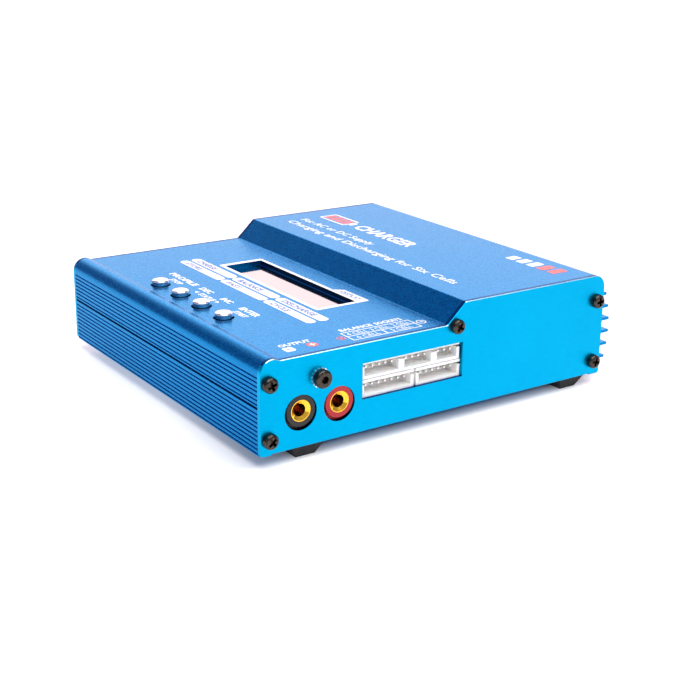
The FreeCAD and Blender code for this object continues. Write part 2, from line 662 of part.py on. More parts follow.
def make_header(label, pins, y, z, side):
    """A shrouded 2.5 mm pitch header whose mouth faces out of an end plate. y and z are its low corner.

    Returns its pins."""
    sign = "" if side > 0 else "-"

    def xs(outer, inner):
        """From a depth behind the mouth to another, ordered along X."""
        places = [f"{sign}(half_length - header_recess - ({depth}))" for depth in (inner, outer)]
        return places if side > 0 else places[::-1]

    width = f"({pins - 1} * pin_pitch + header_spare)"
    far = f"{y} + {width}"
    top = f"{z} + header_high"
    shroud = box(f"{label}_shroud", xs("0", "header_deep"), (y, far), (z, top))
    cavity = box(f"{label}_cavity", xs("0", "header_deep - header_base"),
                 (f"{y} + header_end", f"{far} - header_end"),
                 (f"{z} + header_wall", f"{top} - header_wall"))
    keys = box(f"{label}_keys", xs("0", "header_deep - header_base"), (y, far),
               (f"{top} - key_drop", f"{top} - key_drop + key_high"))
    first = f"{y} + header_spare / 2"
    pin_boxes = []
    for number in range(pins):
        middle = f"{first} + {number} * pin_pitch"
        pin_boxes.append(box(f"{label}_pin_{number + 1}", xs("pin_short", "header_deep"),
                             (f"{middle} - pin_half", f"{middle} + pin_half"),
                             (f"{z} + pin_up - pin_half", f"{z} + pin_up + pin_half")))
    node(cut(label, shroud, cavity, keys, *pin_boxes))
    return pin_boxes


def make_balance_sockets():
    """Five headers in two rows on an upright board behind the right-hand plate."""
    upper = up("window_over - header_high - 0.1")
    lower = up("window_under + 0.02")
    contacts = []
    for row, sizes, gap in ((upper, (5, 4, 3), "header_gap"), (lower, (7, 6), "header_gap_low")):
        place = "header_start"
        for pins in sizes:
            contacts += make_header(f"balance_header_{pins}", pins, back(place), row, 1)
            place += f" + {pins - 1} * pin_pitch + header_spare + {gap}"
    node(group("balance_pins", *contacts))
    behind = "half_length - header_recess - header_deep"
    node(box("balance_board", (f"{behind} - board_thick", behind),
             (back("balance_board_low"), back("balance_board_high")),
             (up("balance_board_under"), up("balance_board_over"))))
    link = box("balance_board_link", (f"{behind} - board_thick - 2.5", f"{behind} - board_thick"),
               (back("balance_board_low + 2"), back("charger_high - 3")),
               (up("board_top"), up("board_top + 5")))
    display_link = box("display_link", (inset("glass_inset + 29"), inset("glass_inset - 11")),
                       (back("glass_back + 14.5"), back("glass_back + 17")),
                       (up("board_top"), up("upper_board_under")))
    node(group("board_links", link, display_link))


# ---- boards -----------------------------------------------------------------------------------------
CHARGER_PILLARS = [("19", "charger_low + 3.5"), ("19", "charger_high - 3"),
                   ("charger_inset_high - 4", "charger_low + 3.5"),
                   ("charger_inset_high - 4", "charger_high - 3")]
SUPPLY_PILLARS = [(x, y) for x in ("supply_inset_low + 4", "supply_inset_high - 4")
                  for y in ("supply_low + 4", "supply_high - 4")]


def board(label, xs, ys, zs, holes, extra=()):
    """A circuit board with its screw holes."""
    blank = box(f"{label}_blank", xs, ys, zs)
    if extra:
        blank = fuse(f"{label}_outline", blank, *extra)
    drills = [bar(f"{label}_hole_{n}", "Z", (inset(x), back(y)), zs, "screw_clear")
              for n, (x, y) in enumerate(holes)]
    return node(cut(label, blank, *drills))


def pillars(label, places, zs):
    """Tapped spacers under a board."""
    tubes = []
    for n, (x, y) in enumerate(places):
        centre = (inset(x), back(y))
        tubes.append(cut(f"{label}_{n}", bar(f"{label}_rod_{n}", "Z", centre, zs, "pillar_radius"),
                         bar(f"{label}_thread_{n}", "Z", centre, zs, "port_hole")))
    return node(group(label, *tubes))


def make_boards():
    zs = (up("board_under"), up("board_top"))
    tab = box("charger_board_tab", (inset("charger_tab"), inset("charger_inset_high - 1")),
              (back("charger_low"), back("charger_tab_high")), zs)
    board("charger_board", (inset("charger_inset_high"), inset("charger_inset_low")),
          (back("charger_low"), back("charger_high")), zs, CHARGER_PILLARS, (tab,))
    board("power_supply_board", (inset("supply_inset_high"), inset("supply_inset_low")),
          (back("supply_low"), back("supply_high")), zs, SUPPLY_PILLARS)
    sheet_zs = (up("floor_top"), up("floor_top + sheet_thick"))
    film = box("insulating_film", (inset("supply_inset_high"), inset("supply_inset_low")),
               (back("supply_low - 1"), back("supply_high")), sheet_zs)
    openings = [bar(f"film_hole_{n}", "Z", (inset(x), back(y)), sheet_zs, "pillar_radius + spacer_clear")
                for n, (x, y) in enumerate(SUPPLY_PILLARS)]
    node(cut("insulating_sheet", film, *openings))
    pillars("board_spacers", CHARGER_PILLARS + SUPPLY_PILLARS, (up("floor_top"), up("board_under")))
    master = make_screw("board_screw", "board_screw_head", "board_screw_high", "earth_round",
                        "screw_shank", "board_thick + 1.9")
    upright = Rotation(Vector(0, 1, 0), -90)
    places = [Placement(Vector(value(inset(x)), value(back(y)), value(up("board_top"))), upright)
              for x, y in CHARGER_PILLARS + SUPPLY_PILLARS]
    copies("board_screws", master, places)


# ---- display and buttons ----------------------------------------------------------------------------
def make_display():
    """A two-line character display: glass and backlight in a frame on its own board."""
    x, y = inset("glass_inset"), back("glass_back")
    centre = (x, y)
    frame_blank = block("display_frame_blank", centre, ("bezel_length / 2", "bezel_depth / 2"),
                        (up("upper_board_top"), up("bezel_top")))
    inside = ("(bezel_length / 2 - bezel_wall)", "(bezel_depth / 2 - bezel_wall)")
    hollow = block("display_frame_hollow", centre, inside, (up("upper_board_top"), up("glass_top")))
    view = block("display_frame_view", centre, ("(window_length / 2 + 0.1)", "(window_depth / 2 + 0.1)"),
                 (up("glass_top"), up("bezel_top")))
    node(cut("display_frame", frame_blank, hollow, view))
    fit = tuple(f"({half} - 0.1)" for half in inside)
    node(block("display_glass", centre, fit, (up("glass_under"), up("glass_top"))))
    node(block("display_backlight", centre, fit, (up("upper_board_top"), up("glass_under"))))
    corners = [(f"glass_inset + {sx} * module_pitch_x / 2", f"glass_back + {sy} * module_pitch_y / 2")
               for sx in (-1, 1) for sy in (-1, 1)]
    zs = (up("upper_board_under"), up("upper_board_top"))
    board("display_board", (f"{x} - module_length / 2", f"{x} + module_length / 2"),
          (f"{y} - module_depth / 2", f"{y} + module_depth / 2"), zs, corners)
    return corners


BUTTONS = ["start", "plus", "minus", "stop"]


def make_buttons():
    """Four chromed caps, each one piece with the plunger of its click switch on the keypad board."""
    y = back("button_back")
    switches = []
    for number, name in enumerate(BUTTONS):
        x = inset(f"button_first + {number} * button_pitch")
        centre = (x, y)
        stem = bar(f"{name}_cap_stem", "Z", centre, (up("cap_under"), up("cap_top")), "cap_radius")
        crown = value(up("cap_top")) - 1e-4
        dome = round_some(f"{name}_cap_dome", stem, "cap_round", lambda edge: edge.CenterOfMass.z > crown)
        flange = bar(f"{name}_cap_flange", "Z", centre, (up("flange_under"), up("flange_top")),
                     "flange_radius")
        plunger = bar(f"{name}_plunger", "Z", centre, (up("key_top - plunger_in"), up("cap_under")),
                      "plunger_radius")
        node(fuse(f"{name}_button_cap", dome, flange, plunger))
        base = block(f"{name}_switch_block", centre, ("key_half", "key_half"),
                     (up("upper_board_top"), up("key_top")))
        well = bar(f"{name}_switch_well", "Z", centre, (up("key_top - plunger_well"), up("key_top")),
                   "plunger_hole")
        switches.append(cut(f"{name}_switch", base, well))
    node(group("key_switches", *switches))
    corners = [(x, "keypad_high - 3") for x in ("keypad_inset_low + 3", "keypad_inset_high - 3")]
    board("keypad_board", (inset("keypad_inset_high"), inset("keypad_inset_low")),
          (back("keypad_low"), back("keypad_high")),
          (up("upper_board_under"), up("upper_board_top")), corners)
    return corners


# ---- fan --------------------------------------------------------------------------------------------
FAN_AXIS = (back("fan_back"), up("fan_up"))
FAN_CORNERS = [(f"{FAN_AXIS[0]} + {sy} * fan_pitch_half", f"{FAN_AXIS[1]} + {sz} * fan_pitch_half")
               for sy in (-1, 1) for sz in (-1, 1)]
BLADES = 7


def make_fan():
    """A 25 mm fan behind the left-hand plate, blowing inwards."""
    y, z = FAN_AXIS
    outer = "plate - half_length"
    inner = f"{outer} + fan_deep"
    frame_box = box("fan_frame_box", (outer, inner), (f"{y} - fan_half", f"{y} + fan_half"),
                    (f"{z} - fan_half", f"{z} + fan_half"))
    duct = bar("fan_duct_bore", "X", FAN_AXIS, (outer, inner), "fan_duct")
    holes = [bar(f"fan_corner_{n}", "X", c, (outer, inner), "fan_hole") for n, c in enumerate(FAN_CORNERS)]
    ring = cut("fan_ring", frame_box, duct, *holes)
    web = (f"{inner} - fan_hub_plate", inner)
    hub = bar("fan_hub_disc", "X", FAN_AXIS, web, "fan_hub")
    long, thin = "(fan_duct + 0.3)", "fan_strut"
    struts = [
        box("fan_strut_a", web, (f"{y} - {long}", f"{y} + {long}"), (f"{z} - {thin}", f"{z} + {thin}")),
        box("fan_strut_b", web, (f"{y} - {thin}", f"{y} + {thin}"), (f"{z} - {long}", f"{z} + {long}")),
    ]
    boss = bar("fan_boss", "X", FAN_AXIS, (f"{inner} - bearing_long - 0.6", inner), "bearing_radius + 0.7")
    seat = bar("fan_seat", "X", FAN_AXIS, (f"{inner} - bearing_long - 0.6", inner), "bearing_radius")
    node(cut("fan_frame", fuse("fan_frame_solid", ring, hub, boss, *struts), seat))
    bearing_span = (f"{inner} - bearing_long", inner)
    node(cut("fan_bearing", bar("fan_bearing_rod", "X", FAN_AXIS, bearing_span, "bearing_radius"),
             bar("fan_bearing_bore", "X", FAN_AXIS, bearing_span, "bearing_bore")))

    cup_span = (f"{outer} + rotor_gap", f"{inner} - fan_hub_plate - rotor_gap")
    cup = bar("rotor_cup", "X", FAN_AXIS, cup_span, "rotor_hub")
    hollow = bar("rotor_hollow", "X", FAN_AXIS, (f"{outer} + rotor_gap + 1.2", cup_span[1]),
                 "rotor_hub - 0.8")
    blades = []
    for number in range(BLADES):
        blade = doc.addObject("Part::Box", f"rotor_blade_{number + 1}")
        bind(blade, Length="blade_deep", Width="blade_thick", Height="rotor_reach - rotor_hub + 0.3")
        spin = Rotation(Vector(1, 0, 0), 360 / BLADES * number)
        lean = Rotation(Vector(0, 0, 1), value("blade_pitch"))
        middle = Vector(value(f"{outer} + fan_deep / 2 - 0.8"), value(y), value(z))
        corner = Vector(-value("blade_deep") / 2, -value("blade_thick") / 2, value("rotor_hub") - 0.3)
        turn = spin.multiply(lean)
        blade.Placement = Placement(middle + turn.multVec(corner), turn)
        blades.append(blade)
    cup_face = f"{outer} + rotor_gap"
    post = bar("rotor_post", "X", FAN_AXIS, (cup_face, f"{cup_face} + 2.4"), "2 * shaft_radius")
    hub_part = cut("rotor_hub_part", cup, hollow)
    eye = bar("rotor_eye", "X", FAN_AXIS, (f"{cup_face} + 0.6", f"{cup_face} + 2.4"), "shaft_radius")
    node(cut("fan_rotor", fuse("rotor_solid", hub_part, post, *blades), eye))
    node(bar("fan_shaft", "X", FAN_AXIS, (f"{cup_face} + 0.6", f"{inner} - 0.5"), "shaft_radius"))
    master = make_screw("fan_screw_master", "board_screw_head", "board_screw_high", "earth_round",
                        "fan_hole - 0.05", "plate + 6")
    copies("fan_screws", master,
           [facing(-1, "-half_length", cy, cz, 15 + 40 * n) for n, (cy, cz) in enumerate(FAN_CORNERS)])


def grille_holes():
    """Rings of round holes in front of the fan, and its four screw holes."""
    y, z = FAN_AXIS
    holes = [(y, z, "grille_hole")]
    for ring in (1, 2, 3):
        for step in range(6 * ring):
            angle = 60 / ring * step
            reach = f"{ring} * grille_ring"
            holes.append((f"{y} + {reach} * cos({angle})", f"{z} + {reach} * sin({angle})", "grille_hole"))
    return holes + [(cy, cz, "screw_clear") for cy, cz in FAN_CORNERS]


# ---- inlets on the left plate -----------------------------------------------------------------------
INLET = (back("inlet_back"), up("inlet_up"))


def bevelled(half_wide, half_high, bevel):
    """A rectangle about the inlet's middle with its two upper corners cut off."""
    y, z = INLET
    return [
        (f"{y} - {half_wide}", f"{z} - {half_high}"),
        (f"{y} + {half_wide}", f"{z} - {half_high}"),
        (f"{y} + {half_wide}", f"{z} + {half_high} - {bevel}"),
        (f"{y} + {half_wide} - {bevel}", f"{z} + {half_high}"),
        (f"{y} - {half_wide} + {bevel}", f"{z} + {half_high}"),
        (f"{y} - {half_wide}", f"{z} + {half_high} - {bevel}"),
    ]


def make_mains_inlet():
    """A three-blade mains inlet with a flange outside the plate."""
    y, z = INLET
    face = "-half_length - flange_out"
    blades = []
    reach = (f"{face} + blade_recess", f"{face} + inlet_deep + blade_tail")
    places = (("-blade_apart", "-blade_drop"), ("blade_apart", "-blade_drop"), ("0", "blade_drop"))
    for number, (dy, dz) in enumerate(places):
        blades.append(box(f"inlet_blade_{number + 1}", reach,
                          (f"{y} + {dy} - blade_half_thick", f"{y} + {dy} + blade_half_thick"),
                          (f"{z} + {dz} - blade_half_high", f"{z} + {dz} + blade_half_high")))
    owner = body("inlet_blank")
    flange = sketch(owner, "YZ_Plane", "inlet_flange_outline",
                    bevelled("flange_half_wide", "flange_half_high", "2"), offset=face)
    pad(owner, flange, "inlet_flange", "flange_out")
    core = sketch(owner, "YZ_Plane", "inlet_core_outline",
                  bevelled("inlet_half_wide", "inlet_half_high", "3"), offset=face)
    pad(owner, core, "inlet_core", "inlet_deep")
    cavity = sketch(owner, "YZ_Plane", "inlet_cavity_outline",
                    bevelled("cavity_half_wide", "cavity_half_high", "cavity_bevel"), offset=face)
    pocket(owner, cavity, "inlet_cavity", "cavity_deep", reversed_=True)
    node(cut("mains_inlet", owner, *blades))
    node(group("mains_inlet_blades", *blades))


def make_dc_inlet():
    """A low-voltage barrel jack."""
    centre = (back("dc_back"), up("dc_up"))
    y, z = centre
    outer, inner = "-half_length + 0.1", "plate - half_length"
    housing = fuse("dc_blank",
                   box("dc_block", (inner, f"{inner} + dc_deep"), (f"{y} - dc_half", f"{y} + dc_half"),
                       (up("board_top"), up("dc_block_top"))),
                   bar("dc_collar_bar", "X", centre, (outer, inner), "dc_collar"))
    bore = bar("dc_bore_bar", "X", centre, (outer, f"{outer} + dc_bore_deep"), "dc_bore")
    node(cut("dc_inlet", housing, bore))
    node(bar("dc_inlet_pin", "X", centre, (f"{outer} + 1.2", f"{outer} + dc_bore_deep"), "dc_pin"))


def make_usb_port():
    """The small data port: a folded steel shell."""
    y = back("usb_back")
    mouth = "-half_length + 0.4"
    rear = f"{mouth} + usb_deep"
    low, high = up("board_top"), up("board_top + usb_high")
    shell = box("usb_shell_box", (mouth, rear), (f"{y} - usb_half", f"{y} + usb_half"), (low, high))
    hollow = box("usb_hollow", (mouth, f"{rear} - usb_sheet"),
                 (f"{y} - usb_half + usb_sheet", f"{y} + usb_half - usb_sheet"),
                 (f"{low} + usb_sheet", f"{high} - usb_sheet"))
    node(cut("usb_port", shell, hollow))


# ---- components on the boards -----------------------------------------------------------------------
def make_components():
    top = up("board_top")
    node(fuse("transformer_core",
              block("core_left", (inset("69.5"), back("105.5")), ("4", "16.5"), (top, up("31.5"))),
              block("core_right", (inset("40.5"), back("105.5")), ("4", "16.5"), (top, up("31.5"))),
              block("core_bottom", (inset("55"), back("105.5")), ("14.5", "5"), (top, up("10.1"))),
              block("core_top", (inset("55"), back("105.5")), ("14.5", "5"), (up("27.5"), up("31.5")))))
    coil = block("coil_blank", (inset("55"), back("105.5")), ("10", "14.5"), (up("11.1"), up("26.5")))
    node(round_some("transformer_coil", coil, "6",
                    lambda edge: abs(edge.Vertexes[0].Z - edge.Vertexes[1].Z) > 5))
    node(bar("bulk_capacitor", "Z", (inset("88"), back("120")), (top, up("31.1")), "9"))
    node(group("output_capacitors",
               *[bar(f"output_capacitor_{n}", "Z", (inset("26"), back(str(y))), (top, up("27")), "5")
                 for n, y in enumerate((90, 103, 116))]))
    node(block("mains_choke", (inset("92"), back("93")), ("9", "8"), (top, up("24"))))
    node(box("heat_spreader", (inset("112"), inset("18")), (back("133.5"), back("136.95")),
             (up("8.6"), up("24.4"))))
    node(group("power_transistors",
               *[box(f"power_transistor_{n}", (inset(str(x + 10)), inset(str(x))),
                     (back("129"), back("133.5")), (up("9"), up("24")))
                 for n, x in enumerate((24, 44, 84, 100))]))
    rings = []
    for number, y in enumerate((42, 57)):
        ring = doc.addObject("Part::Torus", f"inductor_ring_{number + 1}")
        bind(ring, Radius1="4.5", Radius2="2.3")
        bind(ring, Placement__Base__x=inset("22"), Placement__Base__y=back(str(y)),
             Placement__Base__z=up("board_top + 2.3"))
        rings.append(ring)
    node(group("charger_inductors", *rings))
    node(block("controller_chip", (inset("74"), back("44")), ("7", "7"), (top, up("7.6"))))
    node(bar("buzzer", "Z", (inset("112"), back("26")), (top, up("14.6")), "6"))


def wire(points, radius, bend):
    """A round wire along straight runs joined by tangent arcs."""
    places = [Vector(value(x), value(y), value(z)) for x, y, z in points]
    edges = []
    start = places[0]
    for before, corner, after in zip(places, places[1:], places[2:]):
        into = (corner - before).normalize()
        out = (after - corner).normalize()
        reach = bend * math.tan(into.getAngle(out) / 2)
        arc_start, arc_end = corner - into * reach, corner + out * reach
        towards = (out - into).normalize()
        middle = corner + towards * (bend / math.cos(into.getAngle(out) / 2) - bend)
        edges.append(Part.LineSegment(start, arc_start).toShape())
        edges.append(Part.Arc(arc_start, middle, arc_end).toShape())
        start = arc_end
    edges.append(Part.LineSegment(start, places[-1]).toShape())
    path = Part.Wire(edges)
    section = Part.Wire([Part.makeCircle(radius, places[0], places[1] - places[0])])
    tube = path.makePipeShell([section], True, False)
    expected = math.pi * radius ** 2 * path.Length
    assert abs(tube.Volume - expected) < 0.01 * expected, "a wire's volume is off"
    return tube


def make_wires():
    """Live and neutral wires to the power supply board, and the long earth wire to the ring tag."""
    tail = "-half_length - flange_out + inlet_deep + blade_tail"
    wires = []
    low = f"{INLET[1]} - blade_drop"
    for side in (-1, 1):
        across = f"{INLET[0]} + {side} * blade_apart"
        wires.append(wire([(tail, across, low), ("-39.5", across, low), ("-39.5", across, up("board_top"))],
                          0.9, 2.5))
    level = f"{INLET[1]} + blade_drop"
    wires.append(wire([
        (tail, INLET[0], level), ("-39.5", INLET[0], level), ("-39.5", back("77.2"), level),
        (inset("14.5"), back("77.2"), level), (inset("14.5"), back("earth_back + 6"), level),
        ("half_length - plate - tag_thick", back("earth_back + 6"), level)], 0.9, 3.0))
    node(solid_feature("inlet_wires", Part.makeCompound(wires)))


# ---- the whole charger ------------------------------------------------------------------------------
make_top_shell()
make_bottom_shell()
jack_z = up("jack_up - jack_hole_shift")
make_plate("right_end_plate", 1,
           (back("earth_back"), up("earth_up"), "screw_clear"),
           (back("jack_black"), jack_z, "jack_hole"),
           (back("jack_red"), jack_z, "jack_hole"),
           rectangle((back("window_low"), back("window_high")), (up("window_under"), up("window_over"))))
make_plate("left_end_plate", -1,
           bevelled("(inlet_half_wide + inlet_cut)", "(inlet_half_high + inlet_cut)", "3"),
           (back("dc_back"), up("dc_up"), "dc_hole"),
           rectangle((back("usb_back - usb_half - usb_clear"), back("usb_back + usb_half + usb_clear")),
                     (up("board_top - usb_clear"), up("board_top + usb_high + usb_clear"))),
           rectangle((back("probe_back - probe_clear"),
                      back("probe_back + 2 * pin_pitch + header_spare + probe_clear")),
                     (up("board_top - probe_clear"), up("board_top + header_high + probe_clear"))),
           *grille_holes())
make_plate_screws()
make_earth_point()
make_feet()
make_output_jacks()
make_balance_sockets()
make_boards()
pillars("upper_board_spacers", make_display() + make_buttons(), (up("board_top"), up("upper_board_under")))
make_fan()
make_mains_inlet()
make_dc_inlet()
make_usb_port()
node(group("temperature_port_pins",
           *make_header("temperature_port", 3, back("probe_back"), up("board_top"), -1)))
make_components()
make_wires()

doc.recompute()
failed = [item.Name for item in doc.Objects if {"Invalid", "Error"} & set(item.State)]
assert not failed, f"failed objects: {failed}"
os.makedirs("parts", exist_ok=True)
for name in nodes:
    item = doc.getObject(name)
    assert item.Label == name, f"{name} is labelled {item.Label}"
    assert not item.Shape.isNull() and item.Shape.isValid(), f"{name} has no valid shape"
    item.Shape.exportStep(f"parts/{name}.step")
print(f"{len(nodes)} pieces written")
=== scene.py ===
"""Looks of the balance battery charger: finishes, printed markings, studio and camera.

Everything is in metres in the part's own frame: +X is the end with the output jacks and the balance
sockets, -Y the grooved front, +Y the finned back. Places on the case are given as the part gives them:
"inset" counts in from the right-hand end plate, "back" counts back from the grooved front face.
"""

import json
import math

import bmesh
import bpy
from mathutils import Matrix, Vector

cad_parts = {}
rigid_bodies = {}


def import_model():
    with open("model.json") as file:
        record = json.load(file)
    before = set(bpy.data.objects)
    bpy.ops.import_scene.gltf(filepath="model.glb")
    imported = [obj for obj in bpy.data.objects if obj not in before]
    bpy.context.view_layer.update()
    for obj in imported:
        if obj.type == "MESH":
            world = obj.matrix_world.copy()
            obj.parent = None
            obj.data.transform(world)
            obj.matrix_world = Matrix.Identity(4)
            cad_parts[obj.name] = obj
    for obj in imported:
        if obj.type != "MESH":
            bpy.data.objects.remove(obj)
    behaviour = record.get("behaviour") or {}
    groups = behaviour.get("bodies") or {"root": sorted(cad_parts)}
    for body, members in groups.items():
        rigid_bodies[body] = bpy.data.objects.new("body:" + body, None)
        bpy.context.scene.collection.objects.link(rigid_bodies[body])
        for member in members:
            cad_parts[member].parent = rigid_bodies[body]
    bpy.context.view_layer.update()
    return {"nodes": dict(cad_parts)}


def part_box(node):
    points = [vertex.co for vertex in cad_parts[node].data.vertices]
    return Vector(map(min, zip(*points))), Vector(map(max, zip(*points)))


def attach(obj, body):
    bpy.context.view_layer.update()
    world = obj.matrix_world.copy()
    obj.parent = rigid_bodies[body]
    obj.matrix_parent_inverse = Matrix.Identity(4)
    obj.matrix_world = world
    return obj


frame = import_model()

MM = 0.001
CASE = "case"

END_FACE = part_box("right_end_plate")[1].x
FRONT_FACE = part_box("top_shell")[0].y
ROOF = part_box("top_shell")[1].z
DECK = ROOF - 6.85 * MM                     # the low part of the lid, with the display and the buttons
WINDOW_REAR = FRONT_FACE + 59.8 * MM        # the far edge of the display window


# ---- finishes ---------------------------------------------------------------------------------------
def put(tree, kind, settings=None, **inputs):
    """Adds a node to a tree. An input is a number, a colour or another node's output.

    An input goes by its name, or by its place in the row as in0, in1 and so on."""
    item = tree.nodes.new(kind)
    for name, value in (settings or {}).items():
        setattr(item, name, value)
    for name, value in inputs.items():
        socket = item.inputs[int(name[2:]) if name.startswith("in") else name.replace("_", " ")]
        if isinstance(value, bpy.types.NodeSocket):
            tree.links.new(value, socket)
        else:
            socket.default_value = value
    return item


def opaque(colour):
    """A colour with full cover. Another node's output is passed on as it is."""
    return colour if isinstance(colour, bpy.types.NodeSocket) else (*colour, 1.0)


class Finish:
    """A Principled material whose detail is worked out in the piece's own coordinates."""

    def __init__(self, name, colour, roughness, **sockets):
        self.material = bpy.data.materials.new(name)
        self.material.use_nodes = True
        self.tree = self.material.node_tree
        self.shader = self.tree.nodes["Principled BSDF"]
        self.shader.inputs["Base Color"].default_value = opaque(colour)
        self.shader.inputs["Roughness"].default_value = roughness
        for socket, value in sockets.items():
            self.shader.inputs[socket.replace("_", " ")].default_value = value
        self.place = self.put("ShaderNodeTexCoord").outputs["Object"]

    def put(self, kind, settings=None, **inputs):
        return put(self.tree, kind, settings, **inputs)

    def feed(self, socket, output):
        self.tree.links.new(output, self.shader.inputs[socket])

    def noise(self, size, stretch=(1.0, 1.0, 1.0), detail=2.0):
        """Soft blobs about size metres across, drawn out along an axis by stretch."""
        scaled = self.put("ShaderNodeMapping", Vector=self.place, Scale=[1.0 / s for s in stretch])
        return self.put(
            "ShaderNodeTexNoise", Vector=scaled.outputs[0], Scale=1.0 / size, Detail=detail, Roughness=0.55
        ).outputs["Fac"]

    def spread(self, factor, low, high, start=0.3, end=0.7):
        """Maps a value between start and end, as noise mostly is, onto the range from low to high."""
        return self.put(
            "ShaderNodeMapRange", Value=factor, From_Min=start, From_Max=end, To_Min=low, To_Max=high
        ).outputs["Result"]

    def blend(self, factor, first, second):
        first, second = opaque(first), opaque(second)
        return self.put("ShaderNodeMix", {"data_type": "RGBA"}, in0=factor, in6=first, in7=second).outputs[2]

    def math(self, operation, first, second=0.0):
        return self.put("ShaderNodeMath", {"operation": operation}, in0=first, in1=second).outputs[0]

    def inside(self, centre, half):
        """1 inside an upright box with the half sizes given, 0 outside."""
        offset = self.put("ShaderNodeVectorMath", {"operation": "SUBTRACT"}, in0=self.place, in1=centre)
        parts = self.put("ShaderNodeSeparateXYZ", Vector=offset.outputs[0]).outputs
        away = (self.math("ABSOLUTE", part) for part in parts)
        x, y, z = (self.math("LESS_THAN", part, size) for part, size in zip(away, half))
        return self.math("MULTIPLY", self.math("MULTIPLY", x, y), z)

    def colour(self, output):
        self.feed("Base Color", output)

    def rough(self, factor, low, high):
        self.feed("Roughness", self.spread(factor, low, high))

    def relief(self, factor, depth, strength=1.0):
        bump = self.put("ShaderNodeBump", Height=factor, Distance=depth, Strength=strength)
        self.feed("Normal", bump.outputs["Normal"])


DYE_AT_GRAZING = (0.7, 0.93, 1.0, 1.0)      # what the dye leaves of a reflection at a grazing angle
WINDOW_WALL_PAINTED_SHADE = (0.0, 0.02, 0.07)           # painted shade: the far wall of the display window, nearly black
# painted shade: the end plate's upward-facing edge faces, dark blue
PLATE_EDGE_PAINTED_SHADE = (0.0, 0.04, 0.2)
# painted highlight: the chamfer along the end plate's top, pale cyan
PLATE_RIM_PAINTED_HIGHLIGHT = (0.55, 0.82, 0.95)
HALF_RIGHT_ANGLE = 0.707                    # how far a chamfer's normal points along each of two axes


def anodised(name, deep, pale, smooth, rough, grain):
    """Dyed aluminium with a fine blasted grain, and slow changes of dye over it.

    The far wall of the display window is coloured nearly black, as painted shade."""
    finish = Finish(name, pale, smooth, Metallic=1.0, Specular_Tint=DYE_AT_GRAZING)
    pit = finish.put("ShaderNodeTexVoronoi", Vector=finish.place, Scale=1.0 / grain).outputs["Color"]
    pit = finish.put("ShaderNodeSeparateColor", Color=pit).outputs["Red"]
    cloud = finish.noise(14 * MM, detail=3.0)
    mottled = finish.blend(pit, deep, pale)
    clouded = finish.blend(finish.spread(cloud, 0.0, 0.2), mottled, deep)
    low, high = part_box("display_frame")
    centre = Vector(((low.x + high.x) / 2, WINDOW_REAR - 0.1 * MM, DECK - MM))
    # painted shade: the far wall of the window is coloured nearly black
    window_wall_shade = finish.inside(centre, ((high.x - low.x) / 2 - 3 * MM, 0.2 * MM, 1.2 * MM))
    finish.colour(finish.blend(window_wall_shade, clouded, WINDOW_WALL_PAINTED_SHADE))
    finish.rough(pit, smooth, rough)
    finish.relief(finish.noise(grain, detail=1.0), 0.02 * MM, 0.15)
    return finish.material


def end_plate(name):
    """Anodised sheet, brushed very faintly, with painted shade on its upward-facing edge faces and a painted
    highlight along the chamfer above.
    """
    deep, pale = PLATE_BLUE
    finish = Finish(name, pale, 0.35, Metallic=1.0, Specular_Tint=DYE_AT_GRAZING)
    brushed = finish.noise(0.3 * MM, (1.0, 12.0, 1.0), detail=1.0)
    cloud = finish.noise(16 * MM, detail=2.0)
    dyed = finish.blend(finish.spread(cloud, 0.0, 0.3), pale, deep)
    dyed = finish.blend(finish.spread(brushed, 0.0, 0.35), dyed, deep)
    facing = finish.put("ShaderNodeNewGeometry").outputs["True Normal"]
    facing = finish.put("ShaderNodeSeparateXYZ", Vector=facing).outputs
    across = finish.math("ABSOLUTE", facing["X"])
    upward = finish.math("GREATER_THAN", facing["Z"], 0.6)
    # painted shade: upward faces that face across the plate, its edge, are coloured dark
    shaded_edge = finish.math("MULTIPLY", finish.math("LESS_THAN", across, 0.3), upward)
    # painted highlight: the upward chamfer is coloured bright
    off_chamfer = finish.math("ABSOLUTE", finish.math("SUBTRACT", across, HALF_RIGHT_ANGLE))
    highlight_rim = finish.math("MULTIPLY", finish.math("LESS_THAN", off_chamfer, 0.1), upward)
    finish.colour(finish.blend(highlight_rim, finish.blend(shaded_edge, dyed, PLATE_EDGE_PAINTED_SHADE), PLATE_RIM_PAINTED_HIGHLIGHT))
    finish.rough(brushed, 0.32, 0.42)
    finish.relief(brushed, 0.005 * MM, 0.15)
    return finish.material


def metal(name, dull, bright, smooth, rough, grain=0.6 * MM, stretch=(1.0, 1.0, 1.0), marks=0.15):
    """Bare or plated metal with handling marks in its gloss."""
    finish = Finish(name, bright, smooth, Metallic=1.0)
    wear = finish.noise(grain, stretch, detail=4.0)
    finish.colour(finish.blend(finish.spread(wear, 0.0, 1.0), dull, bright))
    finish.rough(finish.noise(2.5 * MM, detail=3.0), smooth, rough)
    finish.relief(wear, 0.01 * MM, marks)
    return finish.material


def moulded(name, dark, light, smooth, rough, grain=0.35 * MM, depth=0.015 * MM, **sockets):
    """Moulded plastic or rubber with a fine spark-eroded texture."""
    finish = Finish(name, light, smooth, **sockets)
    texture = finish.noise(grain, detail=2.0)
    flow = finish.noise(6 * MM, detail=3.0)
    finish.colour(finish.blend(finish.spread(flow, 0.0, 1.0), dark, light))
    finish.rough(texture, smooth, rough)
    finish.relief(texture, depth, 0.5)
    return finish.material


